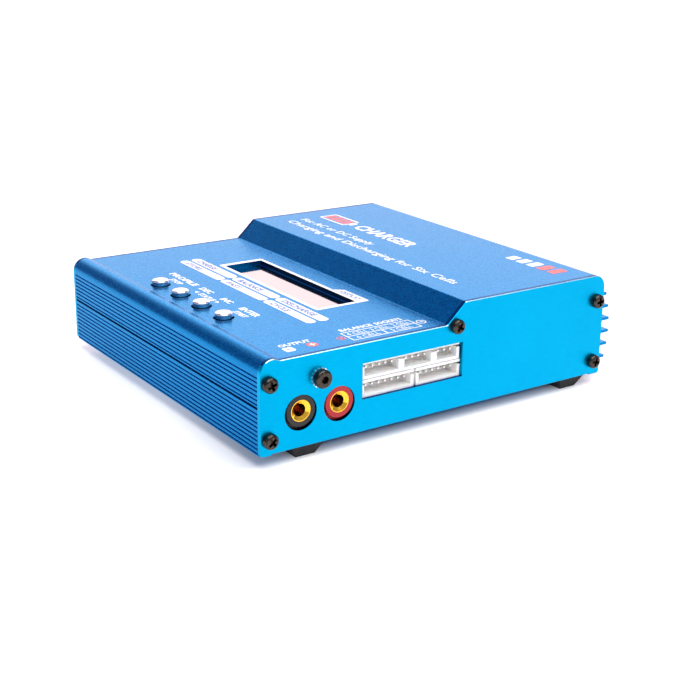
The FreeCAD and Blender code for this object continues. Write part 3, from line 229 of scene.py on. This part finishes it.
def circuit_board(name):
    """Green solder mask over copper tracks that run along and across the board."""
    finish = Finish(name, (0.02, 0.16, 0.06), 0.3, Coat_Weight=0.5, Coat_Roughness=0.15)
    along = finish.noise(0.9 * MM, (14.0, 1.0, 1.0), detail=0.0)
    across = finish.noise(0.9 * MM, (1.0, 14.0, 1.0), detail=0.0)
    traced = finish.spread(finish.math("MAXIMUM", along, across), 0.0, 1.0, 0.56, 0.6)
    finish.colour(finish.blend(traced, (0.01, 0.1, 0.04), (0.05, 0.3, 0.12)))
    finish.relief(traced, 0.03 * MM, 0.6)
    return finish.material


def display_glass(name):
    """The unlit display: a dull mirror, with the dots of its characters only just there."""
    finish = Finish(name, (0.43, 0.54, 0.55), 0.08, Metallic=1.0)
    dots = finish.put(
        "ShaderNodeTexBrick", {"offset": 0.0}, Vector=finish.place, Scale=1.0, Mortar_Size=0.05 * MM,
        Mortar_Smooth=0.2, Brick_Width=0.6 * MM, Row_Height=0.66 * MM,
    )
    cloud = finish.noise(25 * MM, detail=2.0)
    ground = finish.blend(finish.spread(cloud, 0.0, 1.0), (0.38, 0.46, 0.46), (0.42, 0.5, 0.5))
    faint = finish.spread(dots.outputs["Fac"], 0.0, 0.06, 0.0, 1.0)
    finish.colour(finish.blend(faint, ground, (0.3, 0.36, 0.37)))
    finish.rough(cloud, 0.05, 0.1)
    return finish.material


def winding(name, low, high, pitch):
    """Turns of enamelled wire or tape, side by side."""
    finish = Finish(name, high, 0.3, Metallic=0.6, Coat_Weight=0.4)
    turns = finish.put(
        "ShaderNodeTexWave", {"wave_type": "BANDS", "bands_direction": "Z"}, Vector=finish.place,
        Scale=0.314 / pitch, Distortion=0.4,
    ).outputs["Fac"]
    finish.colour(finish.blend(turns, low, high))
    finish.relief(turns, 0.1 * MM, 0.8)
    return finish.material


def ink(name, thin, full):
    """Screen-printed ink: nearly even cover with a faint weave of the screen."""
    finish = Finish(name, full, 0.45, Coat_Weight=0.2, Coat_Roughness=0.3)
    weave = finish.noise(0.16 * MM, detail=1.0)
    finish.colour(finish.blend(finish.spread(weave, 0.0, 1.0), thin, full))
    finish.rough(weave, 0.4, 0.55)
    finish.relief(weave, 0.01 * MM, 0.3)
    return finish.material


# The blue of each anodised piece, where the dye is deep and where it is pale.
CASE_BLUE = ((0.0, 0.15, 0.4), (0.0, 0.21, 0.52))
PLATE_BLUE = ((0.0, 0.29, 0.54), (0.0, 0.35, 0.6))

FINISHES = {
    "blue_anodised_case": anodised("blue_anodised_case", *CASE_BLUE, 0.26, 0.36, 0.4 * MM),
    "blue_end_plate": end_plate("blue_end_plate"),
    "black_screws": metal("black_screws", (0.03, 0.024, 0.02), (0.09, 0.072, 0.06), 0.2, 0.34),
    "plated_screws": metal("plated_screws", (0.5, 0.49, 0.46), (0.72, 0.71, 0.69), 0.2, 0.35),
    "bright_steel": metal("bright_steel", (0.78, 0.78, 0.78), (0.95, 0.95, 0.95), 0.2, 0.35),
    "tinned_copper": metal("tinned_copper", (0.62, 0.6, 0.56), (0.78, 0.76, 0.73), 0.2, 0.35),
    "gilt_contacts": metal("gilt_contacts", (0.92, 0.47, 0.03), (1.0, 0.6, 0.06), 0.1, 0.2),
    "chromed_caps": metal("chromed_caps", (0.84, 0.84, 0.85), (0.92, 0.92, 0.92), 0.03, 0.07, marks=0.03),
    "bearing_bronze": metal("bearing_bronze", (0.4, 0.24, 0.1), (0.6, 0.4, 0.2), 0.3, 0.45),
    "plain_aluminium": metal(
        "plain_aluminium", (0.55, 0.56, 0.57), (0.72, 0.73, 0.74), 0.25, 0.4, stretch=(8.0, 1.0, 1.0)
    ),
    "black_rubber": moulded("black_rubber", (0.01, 0.009, 0.009), (0.02, 0.018, 0.018), 0.6, 0.8, 0.5 * MM,
                            Specular_IOR_Level=0.25),
    "black_insulator": moulded("black_insulator", (0.018, 0.015, 0.014), (0.03, 0.026, 0.024), 0.42, 0.55,
                               Specular_IOR_Level=0.3),
    "red_insulator": moulded("red_insulator", (0.36, 0.015, 0.02), (0.44, 0.022, 0.028), 0.4, 0.5,
                             Specular_IOR_Level=0.3),
    "ivory_plastic": moulded(
        "ivory_plastic", (0.93, 0.89, 0.83), (0.97, 0.95, 0.91), 0.3, 0.42,
        Subsurface_Weight=0.35, Subsurface_Radius=(1.0, 0.75, 0.5), Subsurface_Scale=1.2 * MM,
    ),
    "white_plastic": moulded("white_plastic", (0.8, 0.8, 0.78), (0.88, 0.88, 0.86), 0.4, 0.5),
    "clear_film": moulded("clear_film", (0.72, 0.7, 0.62), (0.8, 0.78, 0.7), 0.15, 0.3, 4 * MM),
    "display_frame_metal": metal("display_frame_metal", (0.0, 0.2, 0.6), (0.01, 0.3, 0.8), 0.18, 0.3),
    "dark_ferrite": moulded("dark_ferrite", (0.05, 0.05, 0.055), (0.1, 0.1, 0.105), 0.5, 0.7, 0.8 * MM),
    "capacitor_sleeve": moulded(
        "capacitor_sleeve", (0.01, 0.012, 0.03), (0.02, 0.024, 0.06), 0.2, 0.3, 2 * MM
    ),
    "wire_insulation": moulded("wire_insulation", (0.12, 0.3, 0.04), (0.5, 0.5, 0.05), 0.35, 0.5),
    "yellow_tape": winding("yellow_tape", (0.6, 0.42, 0.03), (0.8, 0.6, 0.08), 3 * MM),
    "copper_winding": winding("copper_winding", (0.25, 0.08, 0.02), (0.7, 0.3, 0.1), 0.7 * MM),
    "green_circuit_board": circuit_board("green_circuit_board"),
    "display_glass": display_glass("display_glass"),
}
WHITE_INK = ink("white_ink", (0.84, 0.85, 0.87), (0.93, 0.93, 0.93))
RED_INK = ink("red_ink", (0.72, 0.06, 0.06), (0.84, 0.1, 0.1))
BLUE_INK = ink("blue_ink", (0.01, 0.1, 0.34), (0.03, 0.16, 0.45))


def finish_cad_nodes():
    """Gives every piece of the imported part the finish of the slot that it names."""
    for piece in frame["nodes"].values():
        for place in piece.material_slots:
            place.material = FINISHES[place.material.name.split(".")[0]]


# ---- printed markings -------------------------------------------------------------------------------
INK_THICK = 0.03 * MM
INK_SUNK = 0.02 * MM
ARC_STEPS = 6


def spot(inset, back):
    """A place on the case, from millimetres in from the end plate and back from the front face."""
    return Vector((END_FACE - inset * MM, FRONT_FACE + back * MM, 0.0))


def rounded(insets, backs, radius):
    """Corners of a rectangle with round corners, counter-clockwise from above."""
    low = spot(max(insets), min(backs))
    high = spot(min(insets), max(backs))
    reach = radius * MM
    centres = [(high.x, high.y), (low.x, high.y), (low.x, low.y), (high.x, low.y)]
    corners = []
    for turn, (x, y) in enumerate(centres):
        middle = Vector((x + (-reach if x == high.x else reach), y + (-reach if y == high.y else reach), 0.0))
        for step in range(ARC_STEPS + 1):
            angle = (turn + step / ARC_STEPS) * math.pi / 2
            corners.append(middle + reach * Vector((math.cos(angle), math.sin(angle), 0.0)))
    return corners


def disc(inset, back, radius):
    centre, steps = spot(inset, back), 5 * ARC_STEPS
    turns = [2 * math.pi * step / steps for step in range(steps)]
    return [centre + radius * MM * Vector((math.cos(turn), math.sin(turn), 0.0)) for turn in turns]


class Marking:
    """Ink on one level of the lid: thin closed solids that make up one piece."""

    def __init__(self, name, level, material, slot, layer=0):
        self.name, self.material, self.slot = name, material, slot
        self.low = level - INK_SUNK
        self.high = level + INK_THICK * (1 + layer)
        self.mesh = bmesh.new()

    def ring(self, corners, height):
        return [self.mesh.verts.new((corner.x, corner.y, height)) for corner in corners]

    def wall(self, lower, upper):
        for here in range(len(lower)):
            after = (here + 1) % len(lower)
            self.mesh.faces.new((lower[here], lower[after], upper[after], upper[here]))

    def patch(self, corners):
        """A filled shape."""
        lower, upper = self.ring(corners, self.low), self.ring(corners, self.high)
        self.mesh.faces.new(lower[::-1])
        self.mesh.faces.new(upper)
        self.wall(lower, upper)

    def line(self, outer, inner):
        """A closed line between two outlines with as many corners each."""
        low_out, high_out = self.ring(outer, self.low), self.ring(outer, self.high)
        low_in, high_in = self.ring(inner, self.low), self.ring(inner, self.high)
        self.wall(low_out, high_out)
        self.wall(high_in, low_in)
        self.wall(high_out, high_in)
        self.wall(low_in, low_out)

    def bar(self, insets, backs):
        low, high = spot(max(insets), min(backs)), spot(min(insets), max(backs))
        self.patch([low, Vector((high.x, low.y, 0)), high, Vector((low.x, high.y, 0))])

    def words(self, text, insets, backs, turned=False, weight=0.02):
        """Lettering that fills the space given. Turned lettering reads towards the back."""
        curve = bpy.data.curves.new("words", "FONT")
        curve.body = text
        curve.resolution_u = 2
        curve.offset = weight
        curve.extrude = 0.5
        letters = bpy.data.objects.new("words", curve)
        shape = bpy.data.meshes.new_from_object(letters)
        if turned:
            shape.transform(Matrix.Rotation(math.pi / 2, 4, "Z"))
        across = [vertex.co.x for vertex in shape.vertices]
        along = [vertex.co.y for vertex in shape.vertices]
        low, high = spot(max(insets), min(backs)), spot(min(insets), max(backs))
        scale = Matrix.Diagonal((
            (high.x - low.x) / (max(across) - min(across)),
            (high.y - low.y) / (max(along) - min(along)),
            self.high - self.low, 1.0,
        ))
        middle = Vector((low.x, low.y, (self.low + self.high) / 2))
        start = Matrix.Translation((-min(across), -min(along), 0.0))
        shape.transform(Matrix.Translation(middle) @ scale @ start)
        self.mesh.from_mesh(shape)
        for data, store in ((letters, bpy.data.objects), (curve, bpy.data.curves), (shape, bpy.data.meshes)):
            store.remove(data)

    def done(self):
        bmesh.ops.remove_doubles(self.mesh, verts=self.mesh.verts, dist=0.002 * MM)
        bmesh.ops.recalc_face_normals(self.mesh, faces=self.mesh.faces)
        mesh = bpy.data.meshes.new(self.name)
        self.mesh.to_mesh(mesh)
        self.mesh.free()
        mesh.materials.append(self.material)
        piece = bpy.data.objects.new(self.name, mesh)
        bpy.context.scene.collection.objects.link(piece)
        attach(piece, CASE)


def white_marking(name, level, layer=0):
    return Marking(name, level, WHITE_INK, "white_plastic", layer)


def red_marking(name, level):
    return Marking(name, level, RED_INK, "red_insulator")


def blue_marking(name, level):
    """Blue ink is only printed over white."""
    return Marking(name, level, BLUE_INK, "blue_anodised_case", 1)


def print_display_outline():
    """The white line round the display window, with a tab at its rear right."""
    outline = white_marking("display_outline", DECK)
    outline.line(rounded((35.9, 102.6), (43.1, 61.2), 1.0), rounded((37.6, 100.4), (44.6, 59.8), 0.4))
    outline.patch([spot(36.0, 60.9), spot(36.0, 63.9), spot(36.5, 64.4), spot(51.1, 64.4), spot(54.0, 60.9)])
    outline.done()
    words = blue_marking("display_tab_lettering", DECK)
    words.words("DISPLAY", (38.6, 50.2), (61.6, 63.6))
    words.done()


def print_program_strips():
    """Two rows of three white strips in front of the display."""
    strips = white_marking("program_strips", DECK)
    lettering = blue_marking("program_strip_lettering", DECK)
    columns = ((84.8, 114.8), (55.2, 84.2), (25.2, 54.6))
    rows = ((37.6, 41.5), (32.9, 36.6))
    names = (("CHARGE", "BALANCE", "DISCHARGE"), ("STORE", "FAST", "CYCLE"))
    for (near, far), row_names in zip(rows, names):
        for (right, left), name in zip(columns, row_names):
            strips.patch(rounded((right, left), (near, far), 1.85))
            start = left - 3.4
            lettering.words(name, (start - 2.2 * len(name), start), (near + 0.7, far - 0.7), weight=0.035)
    strips.done()
    lettering.done()


def print_button_legends():
    legends = white_marking("button_legends", DECK)
    for word, insets in (("PROFILE", (82.7, 101.6)), ("DEC", (71.6, 79.2)), ("INC", (57.9, 64.3)),
                         ("ENTER", (40.3, 51.6))):
        legends.words(word, insets, (22.1, 24.7), weight=0.035)
    for word, insets in (("STOP", (87.2, 94.9)), ("STATUS", (63.4, 73.4)), ("START", (41.9, 49.5))):
        legends.words(word, insets, (18.6, 20.9), weight=0.035)
    for tip, root in ((77.0, 75.0), (60.2, 62.2)):
        corners = [spot(root, 18.9), spot(root, 20.7), spot(tip, 19.8)]
        legends.patch(corners if tip > root else corners[::-1])
    legends.done()


def print_plus(marking, inset, back, half, thick):
    """A plus sign, as one twelve-sided shape."""
    corners = []
    for turn in range(4):
        quarter = Matrix.Rotation(turn * math.pi / 2, 3, "Z")
        for x, y in ((thick, thick), (thick, half), (-thick, half)):
            corners.append(spot(inset, back) + quarter @ Vector((x * MM, y * MM, 0.0)))
    marking.patch(corners)


def print_output_legend():
    words = white_marking("output_legend", DECK)
    words.words("OUTPUT", (9.8, 12.2), (13.0, 24.3), turned=True, weight=0.03)
    words.patch(rounded((5.2, 8.9), (12.6, 16.2), 0.8))
    words.done()
    red = red_marking("output_plus_mark", DECK)
    red.patch(disc(7.3, 22.9, 1.9))
    red.done()
    plus = white_marking("output_plus_sign", DECK, 1)
    print_plus(plus, 7.3, 22.9, 1.15, 0.26)
    plus.done()
    minus = blue_marking("output_minus_sign", DECK)
    minus.bar((6.8, 7.3), (13.4, 15.4))
    minus.done()


def print_balance_legend():
    """A title, and a table that says how many cells each balance socket takes."""
    words = white_marking("balance_legend", DECK)
    words.words("BALANCE", (12.7, 15.0), (37.2, 49.6), turned=True, weight=0.03)
    words.words("SOCKETS", (12.7, 15.0), (50.7, 61.2), turned=True, weight=0.03)
    thick, mid = 0.4, 7.7
    insets, backs = (3.7, 11.7), (35.8, 62.5)
    inner = (insets[0] + thick, insets[1] - thick), (backs[0] + thick, backs[1] - thick)
    words.line(rounded(insets, backs, 0.3), rounded(*inner, 0.1))
    words.bar((mid - thick / 2, mid + thick / 2), inner[1])
    upper, lower = (mid + 0.75, insets[1] - 1.0), (insets[0] + 1.0, mid - 0.75)
    for cells, start, end in (("4 CELL", 37.2, 45.0), ("3 CELL", 46.2, 53.2), ("2 CELL", 54.6, 61.2)):
        words.words(cells, upper, (start, end), turned=True, weight=0.0)
    for cells, start, end in (("6 CELL", 38.4, 47.0), ("5 CELL", 51.6, 59.6)):
        words.words(cells, lower, (start, end), turned=True, weight=0.0)
    words.bar((insets[0] + thick, mid - thick / 2), (48.9, 49.4))
    words.line(disc(7.75, 64.9, 1.75), disc(7.75, 64.9, 1.35))
    words.bar((7.5, 8.0), (64.1, 65.7))
    words.done()
    red = red_marking("balance_plus_mark", DECK)
    red.line(disc(7.5, 33.6, 1.5), disc(7.5, 33.6, 1.15))
    print_plus(red, 7.5, 33.6, 0.75, 0.17)
    red.done()


def print_roof_title():
    """A battery sign and plain words on the raised part of the lid."""
    battery = white_marking("battery_sign_outline", ROOF)
    battery.line(rounded((107.6, 124.9), (101.8, 110.2), 1.4), rounded((108.5, 124.0), (102.7, 109.3), 0.7))
    battery.patch(rounded((105.7, 107.2), (104.2, 107.8), 0.5))
    battery.done()
    cells = red_marking("battery_sign_cells", ROOF)
    for first in (109.3, 113.1, 116.9, 120.7):
        cells.patch(rounded((first, first + 2.8), (103.4, 108.6), 0.4))
    cells.done()
    words = white_marking("roof_lettering", ROOF)
    words.words("CHARGER", (66.5, 102.8), (102.6, 109.2), weight=0.03)
    words.words("For AC or DC Supply", (76.4, 124.6), (91.7, 96.0), weight=0.015)
    words.words("Charging and Discharging for Six Cells", (18.5, 124.8), (85.1, 89.8), weight=0.01)
    words.done()


def print_level_sign():
    """Five rising bars, white then red, as a sign for the charge level."""
    for name, marking, columns in (("level_sign_white", white_marking, (0, 1, 2)),
                                   ("level_sign_red", red_marking, (3, 4))):
        sign = marking(name, ROOF)
        for column in columns:
            left = 35.6 - 5.5 * column
            sign.patch(rounded((left - 3.9, left), (124.2, 129.2 + 0.5 * column), 0.6))
        sign.done()


def print_markings():
    print_display_outline()
    print_program_strips()
    print_button_legends()
    print_output_legend()
    print_balance_legend()
    print_roof_title()
    print_level_sign()


# ---- studio -----------------------------------------------------------------------------------------
FLOOR_HALF = 6.0
# Glows of the floor: at the start and at the end of the stretch over which each one grows.
FRONT_GLOW = (0.0, 0.4)                     # from the object's middle towards the front left
DISTANT_GLOW = (0.0, 0.9)                   # from close by to most of a metre away
RIGHT_GLOW = (0.0, 0.42)                    # from under the right end plate to just beside it
LIT_SIDE = Vector((-0.5, -0.85, 0.0))
BACKDROP_SIDE = Vector((-0.81, 0.59, 0.0))
BACKDROP_LIGHT = 1.85
BACKDROP_TINT = (1.0, 0.67, 0.61, 1.0)
BACKDROP_TOP = 1.8                          # how much brighter the backdrop is along its upper edge
ROOM_LIGHT = 0.42
ROOM_TINT = (0.5, 0.62, 1.0, 1.0)
SIDE = (1.0, 0.1, 0.2)
SIDE_LIGHT = 0.3
SIDE_TINT = (1.0, 0.9, 0.76, 1.0)


def floor():
    """A pale sheet under the object, with a very fine tooth. It glows as painted light, more towards the
    front left, beside the right end plate and far away, which lightens the shade next to the object.
    """
    mesh = bpy.data.meshes.new("floor")
    corners = [(x * FLOOR_HALF, y * FLOOR_HALF, -0.01 * MM) for x, y in ((-1, -1), (1, -1), (1, 1), (-1, 1))]
    mesh.from_pydata(corners, [], [(0, 1, 2, 3)])
    finish = Finish("pale_floor", (0.9, 0.9, 0.91), 0.6, Emission_Color=(0.98, 0.985, 1.0, 1.0))
    tooth = finish.spread(finish.noise(1.5 * MM), 0.0, 1.0)
    finish.colour(finish.blend(tooth, (0.92, 0.89, 0.85), (0.95, 0.92, 0.88)))
    place = finish.place
    away = finish.put("ShaderNodeVectorMath", {"operation": "LENGTH"}, in0=place).outputs["Value"]
    ahead = finish.put("ShaderNodeVectorMath", {"operation": "DOT_PRODUCT"}, in0=place, in1=LIT_SIDE)
    right = finish.put("ShaderNodeSeparateXYZ", Vector=place).outputs["X"]
    near = finish.spread(ahead.outputs["Value"], *FRONT_GLOW, 0.01, 0.06)
    distant = finish.spread(away, *DISTANT_GLOW, 0.12, 0.8)
    beside = finish.spread(right, *RIGHT_GLOW, END_FACE - 9 * MM, END_FACE - MM)
    # painted light: the floor's glow lifts the shade at the front left and beside the right end plate
    brightest = finish.math("MAXIMUM", finish.math("MAXIMUM", near, distant), beside)
    finish.feed("Emission Strength", brightest)
    mesh.materials.append(finish.material)
    sheet = bpy.data.objects.new("floor", mesh)
    bpy.context.scene.collection.objects.link(sheet)


def surroundings():
    """White all round for the eye. For the light, a cool dim room, a warm and bright backdrop that stands
    low behind on the left, and a faint warm glow from the right."""
    world = bpy.data.worlds.new("studio")
    world.use_nodes = True
    bpy.context.scene.world = world
    tree = world.node_tree
    tree.nodes.clear()

    def towards(direction):
        along = put(tree, "ShaderNodeVectorMath", {"operation": "DOT_PRODUCT"}, in0=way, in1=direction)
        return along.outputs["Value"]

    def ramp(source, start, end, low, high):
        return put(
            tree, "ShaderNodeMapRange", {"interpolation_type": "SMOOTHSTEP"}, Value=source,
            From_Min=start, From_Max=end, To_Min=low, To_Max=high,
        ).outputs["Result"]

    def times(first, second):
        return put(tree, "ShaderNodeMath", {"operation": "MULTIPLY"}, in0=first, in1=second).outputs[0]

    def light(tint, strength):
        return put(tree, "ShaderNodeBackground", Color=tint, Strength=strength).outputs[0]

    def together(first, second):
        return put(tree, "ShaderNodeAddShader", in0=first, in1=second).outputs[0]

    way = put(tree, "ShaderNodeTexCoord").outputs["Generated"]
    height = put(tree, "ShaderNodeSeparateXYZ", Vector=way).outputs["Z"]
    behind = ramp(towards(BACKDROP_SIDE), 0.6, 0.88, 0.0, BACKDROP_LIGHT)
    backdrop = times(behind, ramp(height, 0.47, 0.56, 1.0, 0.0))
    backdrop = times(backdrop, ramp(height, 0.35, 0.42, 1.0, 1.0 + BACKDROP_TOP))
    side = ramp(towards(SIDE), 0.1, 0.8, 0.0, SIDE_LIGHT)
    lit = together(light(ROOM_TINT, ROOM_LIGHT), light(BACKDROP_TINT, backdrop))
    lit = together(lit, light(SIDE_TINT, side))
    eye = put(tree, "ShaderNodeLightPath").outputs["Is Camera Ray"]
    mixed = put(tree, "ShaderNodeMixShader", in0=eye, in1=lit, in2=light((1.0, 1.0, 1.0, 1.0), 1.0))
    put(tree, "ShaderNodeOutputWorld", Surface=mixed.outputs[0])


def softbox(name, place, size, watts):
    """A square soft light that faces the object."""
    light = bpy.data.lights.new(name, "AREA")
    light.shape = "SQUARE"
    light.size = size
    light.energy = watts
    lamp = bpy.data.objects.new(name, light)
    lamp.location = place
    lamp.rotation_euler = (-Vector(place)).to_track_quat("-Z", "Y").to_euler()
    bpy.context.scene.collection.objects.link(lamp)


def lights():
    softbox("overhead", (0.35, 0.0, 1.1), 1.3, 18.0)


def camera():
    """At the object's front right, a little above it, tilted by just over a degree."""
    view = bpy.data.cameras.new("camera")
    view.lens = 66.5
    view.sensor_width = 36.0
    view.shift_x = -0.0511
    view.shift_y = -0.0211
    view.clip_start = 0.01
    eye = bpy.data.objects.new("camera", view)
    azimuth, elevation, roll = (math.radians(angle) for angle in (53.75, 18.28, 1.26))
    turn = Matrix.Rotation(azimuth, 4, "Z") @ Matrix.Rotation(math.pi / 2 - elevation, 4, "X")
    place = Matrix.Translation((374.5 * MM, -252.2 * MM, 160.75 * MM))
    eye.matrix_world = place @ turn @ Matrix.Rotation(roll, 4, "Z")
    bpy.context.scene.collection.objects.link(eye)
    bpy.context.scene.camera = eye


finish_cad_nodes()
print_markings()
floor()
surroundings()
lights()
camera()
bpy.context.scene.view_settings.view_transform = "Standard"
